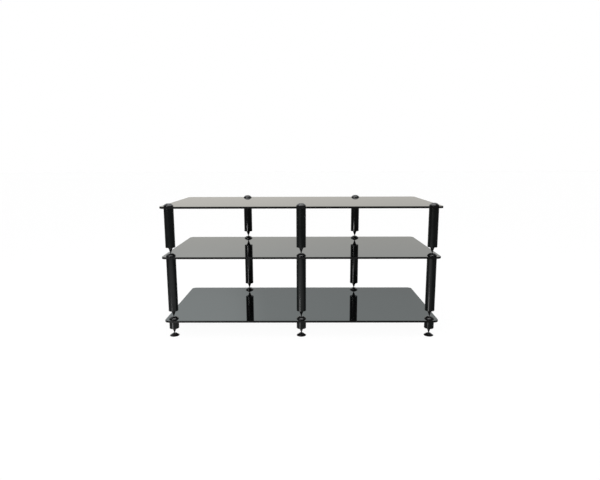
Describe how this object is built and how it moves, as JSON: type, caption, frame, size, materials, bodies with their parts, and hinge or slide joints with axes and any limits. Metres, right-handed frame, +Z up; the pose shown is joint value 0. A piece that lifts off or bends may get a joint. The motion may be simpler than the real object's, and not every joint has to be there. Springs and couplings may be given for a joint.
{
  "type": "audio equipment rack",
  "caption": "Low free-standing equipment rack: black glass shelves stacked on spiked tube columns, with screw spikes that level the feet and each tier.",
  "frame": {"origin": "on the floor, under the middle of the shelves", "axes": "+X to the right of someone facing the front, +Y to the back, +Z up"},
  "size_m": [1.1, 0.5, 0.5395],
  "materials": {
    "black_glass": "opaque black float glass, polished faces and ground edges",
    "satin_black_tube": "satin black powder coat on steel tube",
    "black_turned_steel": "semi-gloss black over turned steel",
    "zinc_steel": "zinc-plated steel",
    "black_rubber": "matt black rubber",
    "white_nylon": "natural nylon"
  },
  "bodies": {
    "bottom_tier": {"bottom_shelf": "black_glass", "front_left_foot": "satin_black_tube", "front_middle_foot": "satin_black_tube", "front_right_foot": "satin_black_tube", "back_left_foot": "satin_black_tube", "back_right_foot": "satin_black_tube", "foot_cores": "zinc_steel", "bottom_shelf_caps": "black_turned_steel", "bottom_shelf_cap_studs": "zinc_steel", "bottom_shelf_hole_bushes": "white_nylon", "bottom_shelf_cap_washers": "black_rubber", "bottom_shelf_post_washers": "black_rubber"},
    "front_left_shoe": {"front_left_shoe": "black_turned_steel"},
    "front_middle_shoe": {"front_middle_shoe": "black_turned_steel"},
    "front_right_shoe": {"front_right_shoe": "black_turned_steel"},
    "back_left_shoe": {"back_left_shoe": "black_turned_steel"},
    "back_right_shoe": {"back_right_shoe": "black_turned_steel"},
    "front_left_floor_spike": {"front_left_floor_spike": "black_turned_steel"},
    "front_middle_floor_spike": {"front_middle_floor_spike": "black_turned_steel"},
    "front_right_floor_spike": {"front_right_floor_spike": "black_turned_steel"},
    "back_left_floor_spike": {"back_left_floor_spike": "black_turned_steel"},
    "back_right_floor_spike": {"back_right_floor_spike": "black_turned_steel"},
    "front_left_lower_spike": {"front_left_lower_spike": "black_turned_steel"},
    "front_middle_lower_spike": {"front_middle_lower_spike": "black_turned_steel"},
    "front_right_lower_spike": {"front_right_lower_spike": "black_turned_steel"},
    "back_left_lower_spike": {"back_left_lower_spike": "black_turned_steel"},
    "back_right_lower_spike": {"back_right_lower_spike": "black_turned_steel"},
    "middle_tier": {"middle_shelf": "black_glass", "front_left_lower_post": "satin_black_tube", "front_middle_lower_post": "satin_black_tube", "front_right_lower_post": "satin_black_tube", "back_left_lower_post": "satin_black_tube", "back_right_lower_post": "satin_black_tube", "lower_post_bottom_plugs": "zinc_steel", "lower_post_top_plugs": "zinc_steel", "middle_shelf_caps": "black_turned_steel", "middle_shelf_cap_studs": "zinc_steel", "middle_shelf_hole_bushes": "white_nylon", "middle_shelf_cap_washers": "black_rubber", "middle_shelf_post_washers": "black_rubber"},
    "front_left_upper_spike": {"front_left_upper_spike": "black_turned_steel"},
    "front_middle_upper_spike": {"front_middle_upper_spike": "black_turned_steel"},
    "front_right_upper_spike": {"front_right_upper_spike": "black_turned_steel"},
    "back_left_upper_spike": {"back_left_upper_spike": "black_turned_steel"},
    "back_right_upper_spike": {"back_right_upper_spike": "black_turned_steel"},
    "top_tier": {"top_shelf": "black_glass", "front_left_upper_post": "satin_black_tube", "front_middle_upper_post": "satin_black_tube", "front_right_upper_post": "satin_black_tube", "back_left_upper_post": "satin_black_tube", "back_right_upper_post": "satin_black_tube", "upper_post_bottom_plugs": "zinc_steel", "upper_post_top_plugs": "zinc_steel", "top_shelf_caps": "black_turned_steel", "top_shelf_cap_studs": "zinc_steel", "top_shelf_hole_bushes": "white_nylon", "top_shelf_cap_washers": "black_rubber", "top_shelf_post_washers": "black_rubber"}
  },
  "joints": [
    {"name": "front_left_shoe_travel", "type": "slide", "parent": "bottom_tier", "child": "front_left_shoe", "axis": [0, 0, -1], "range_m": [0, 0.0075]},
    {"name": "front_left_floor_spike_turn", "type": "hinge", "parent": "front_left_shoe", "child": "front_left_floor_spike", "pos_m": [-0.518, -0.221, 0], "axis": [0, 0, -1], "range_deg": [0, 2160]},
    {"name": "front_middle_shoe_travel", "type": "slide", "parent": "bottom_tier", "child": "front_middle_shoe", "axis": [0, 0, -1], "range_m": [0, 0.0075]},
    {"name": "front_middle_floor_spike_turn", "type": "hinge", "parent": "front_middle_shoe", "child": "front_middle_floor_spike", "pos_m": [0, -0.221, 0], "axis": [0, 0, -1], "range_deg": [0, 2160]},
    {"name": "front_right_shoe_travel", "type": "slide", "parent": "bottom_tier", "child": "front_right_shoe", "axis": [0, 0, -1], "range_m": [0, 0.0075]},
    {"name": "front_right_floor_spike_turn", "type": "hinge", "parent": "front_right_shoe", "child": "front_right_floor_spike", "pos_m": [0.518, -0.221, 0], "axis": [0, 0, -1], "range_deg": [0, 2160]},
    {"name": "back_left_shoe_travel", "type": "slide", "parent": "bottom_tier", "child": "back_left_shoe", "axis": [0, 0, -1], "range_m": [0, 0.0075]},
    {"name": "back_left_floor_spike_turn", "type": "hinge", "parent": "back_left_shoe", "child": "back_left_floor_spike", "pos_m": [-0.259, 0.213, 0], "axis": [0, 0, -1], "range_deg": [0, 2160]},
    {"name": "back_right_shoe_travel", "type": "slide", "parent": "bottom_tier", "child": "back_right_shoe", "axis": [0, 0, -1], "range_m": [0, 0.0075]},
    {"name": "back_right_floor_spike_turn", "type": "hinge", "parent": "back_right_shoe", "child": "back_right_floor_spike", "pos_m": [0.259, 0.213, 0], "axis": [0, 0, -1], "range_deg": [0, 2160]},
    {"name": "middle_tier_rise", "type": "slide", "parent": "bottom_tier", "child": "middle_tier", "axis": [0, 0, 1], "range_m": [0, 0.0075]},
    {"name": "front_left_lower_spike_turn", "type": "hinge", "parent": "bottom_tier", "child": "front_left_lower_spike", "pos_m": [-0.518, -0.221, 0], "axis": [0, 0, -1], "range_deg": [0, 2160]},
    {"name": "front_middle_lower_spike_turn", "type": "hinge", "parent": "bottom_tier", "child": "front_middle_lower_spike", "pos_m": [0, -0.221, 0], "axis": [0, 0, -1], "range_deg": [0, 2160]},
    {"name": "front_right_lower_spike_turn", "type": "hinge", "parent": "bottom_tier", "child": "front_right_lower_spike", "pos_m": [0.518, -0.221, 0], "axis": [0, 0, -1], "range_deg": [0, 2160]},
    {"name": "back_left_lower_spike_turn", "type": "hinge", "parent": "bottom_tier", "child": "back_left_lower_spike", "pos_m": [-0.259, 0.213, 0], "axis": [0, 0, -1], "range_deg": [0, 2160]},
    {"name": "back_right_lower_spike_turn", "type": "hinge", "parent": "bottom_tier", "child": "back_right_lower_spike", "pos_m": [0.259, 0.213, 0], "axis": [0, 0, -1], "range_deg": [0, 2160]},
    {"name": "top_tier_rise", "type": "slide", "parent": "middle_tier", "child": "top_tier", "axis": [0, 0, 1], "range_m": [0, 0.0075]},
    {"name": "front_left_upper_spike_turn", "type": "hinge", "parent": "middle_tier", "child": "front_left_upper_spike", "pos_m": [-0.518, -0.221, 0], "axis": [0, 0, -1], "range_deg": [0, 2160]},
    {"name": "front_middle_upper_spike_turn", "type": "hinge", "parent": "middle_tier", "child": "front_middle_upper_spike", "pos_m": [0, -0.221, 0], "axis": [0, 0, -1], "range_deg": [0, 2160]},
    {"name": "front_right_upper_spike_turn", "type": "hinge", "parent": "middle_tier", "child": "front_right_upper_spike", "pos_m": [0.518, -0.221, 0], "axis": [0, 0, -1], "range_deg": [0, 2160]},
    {"name": "back_left_upper_spike_turn", "type": "hinge", "parent": "middle_tier", "child": "back_left_upper_spike", "pos_m": [-0.259, 0.213, 0], "axis": [0, 0, -1], "range_deg": [0, 2160]},
    {"name": "back_right_upper_spike_turn", "type": "hinge", "parent": "middle_tier", "child": "back_right_upper_spike", "pos_m": [0.259, 0.213, 0], "axis": [0, 0, -1], "range_deg": [0, 2160]}
  ],
  "couplings": [
    {"joint": "front_left_floor_spike_turn", "follows": "front_left_shoe_travel", "rad_per_m": 5026.5},
    {"joint": "front_middle_floor_spike_turn", "follows": "front_middle_shoe_travel", "rad_per_m": 5026.5},
    {"joint": "front_right_floor_spike_turn", "follows": "front_right_shoe_travel", "rad_per_m": 5026.5},
    {"joint": "back_left_floor_spike_turn", "follows": "back_left_shoe_travel", "rad_per_m": 5026.5},
    {"joint": "back_right_floor_spike_turn", "follows": "back_right_shoe_travel", "rad_per_m": 5026.5},
    {"joint": "front_left_lower_spike_turn", "follows": "middle_tier_rise", "rad_per_m": 5026.5},
    {"joint": "front_middle_lower_spike_turn", "follows": "middle_tier_rise", "rad_per_m": 5026.5},
    {"joint": "front_right_lower_spike_turn", "follows": "middle_tier_rise", "rad_per_m": 5026.5},
    {"joint": "back_left_lower_spike_turn", "follows": "middle_tier_rise", "rad_per_m": 5026.5},
    {"joint": "back_right_lower_spike_turn", "follows": "middle_tier_rise", "rad_per_m": 5026.5},
    {"joint": "front_left_upper_spike_turn", "follows": "top_tier_rise", "rad_per_m": 5026.5},
    {"joint": "front_middle_upper_spike_turn", "follows": "top_tier_rise", "rad_per_m": 5026.5},
    {"joint": "front_right_upper_spike_turn", "follows": "top_tier_rise", "rad_per_m": 5026.5},
    {"joint": "back_left_upper_spike_turn", "follows": "top_tier_rise", "rad_per_m": 5026.5},
    {"joint": "back_right_upper_spike_turn", "follows": "top_tier_rise", "rad_per_m": 5026.5}
  ]
}
